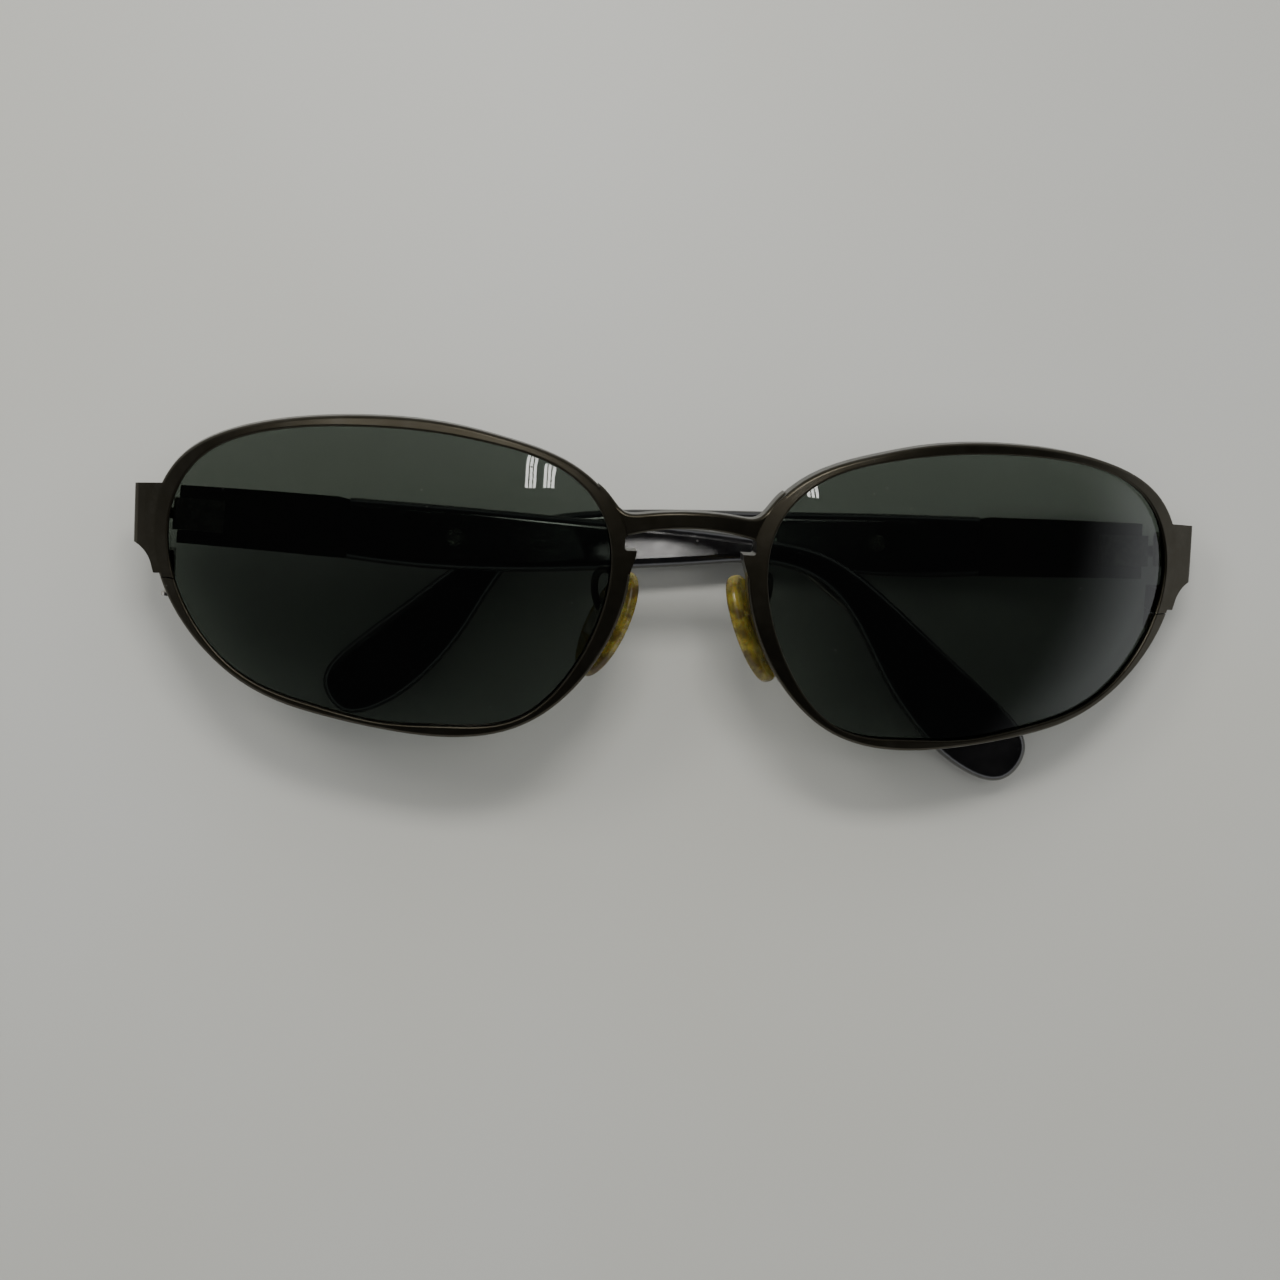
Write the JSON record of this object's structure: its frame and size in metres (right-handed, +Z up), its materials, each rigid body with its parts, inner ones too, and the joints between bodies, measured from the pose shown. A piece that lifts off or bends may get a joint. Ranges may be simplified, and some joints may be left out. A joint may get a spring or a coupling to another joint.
{
  "type": "metal wrap sunglasses",
  "caption": "Folded metal-rim sunglasses with oval wrap lenses, a keyhole-slot bridge, nose pads and black plastic sleeves on screw-hinged temples.",
  "frame": {"origin": "centre of the footprint on the table, under the folded glasses", "axes": "+X from the left hinge to the right hinge, +Y to the top of the front, +Z up from the table, out of the lenses' front"},
  "size_m": [0.1425, 0.0454, 0.0319],
  "materials": {
    "frame_metal": "satin brown-gunmetal lacquer over metal",
    "hinge_steel": "dulled nickel silver",
    "screw_steel": "turned steel screw",
    "lens_glass": "dark grey-green tinted, polished",
    "sleeve_black": "polished black acetate",
    "pad_amber": "translucent silicone, yellowed with age"
  },
  "bodies": {
    "right_temple": {"right_temple_plate": "frame_metal", "right_temple_hinge": "hinge_steel", "right_temple_sleeve": "sleeve_black", "right_core_wire": "hinge_steel", "right_temple_screw": "screw_steel"},
    "front": {"left_rim": "frame_metal", "right_rim": "frame_metal", "left_lens": "lens_glass", "right_lens": "lens_glass", "bridge": "frame_metal", "left_end_piece": "frame_metal", "right_end_piece": "frame_metal", "left_front_hinge": "hinge_steel", "right_front_hinge": "hinge_steel", "left_upper_rim_lock": "frame_metal", "right_upper_rim_lock": "frame_metal", "left_lower_rim_lock": "frame_metal", "right_lower_rim_lock": "frame_metal", "rim_lock_screws": "screw_steel", "hinge_screws": "screw_steel", "left_pad_arm": "frame_metal", "right_pad_arm": "frame_metal", "left_pad_box": "hinge_steel", "right_pad_box": "hinge_steel", "left_nose_pad": "pad_amber", "right_nose_pad": "pad_amber", "pad_screws": "screw_steel"},
    "left_temple": {"left_temple_plate": "frame_metal", "left_temple_hinge": "hinge_steel", "left_temple_sleeve": "sleeve_black", "left_core_wire": "hinge_steel", "left_temple_screw": "screw_steel"}
  },
  "joints": [
    {"name": "right_temple_hinge", "type": "hinge", "parent": "right_temple", "child": "front", "pos_m": [0.06763, 0.00919, 0.0066], "axis": [-0.0052, 1, 0], "range_deg": [0, 86]},
    {"name": "left_temple_hinge", "type": "hinge", "parent": "front", "child": "left_temple", "pos_m": [-0.06789, 0.00919, 0.01489], "axis": [0.0436, 0.999, 0], "range_deg": [0, 90]}
  ]
}
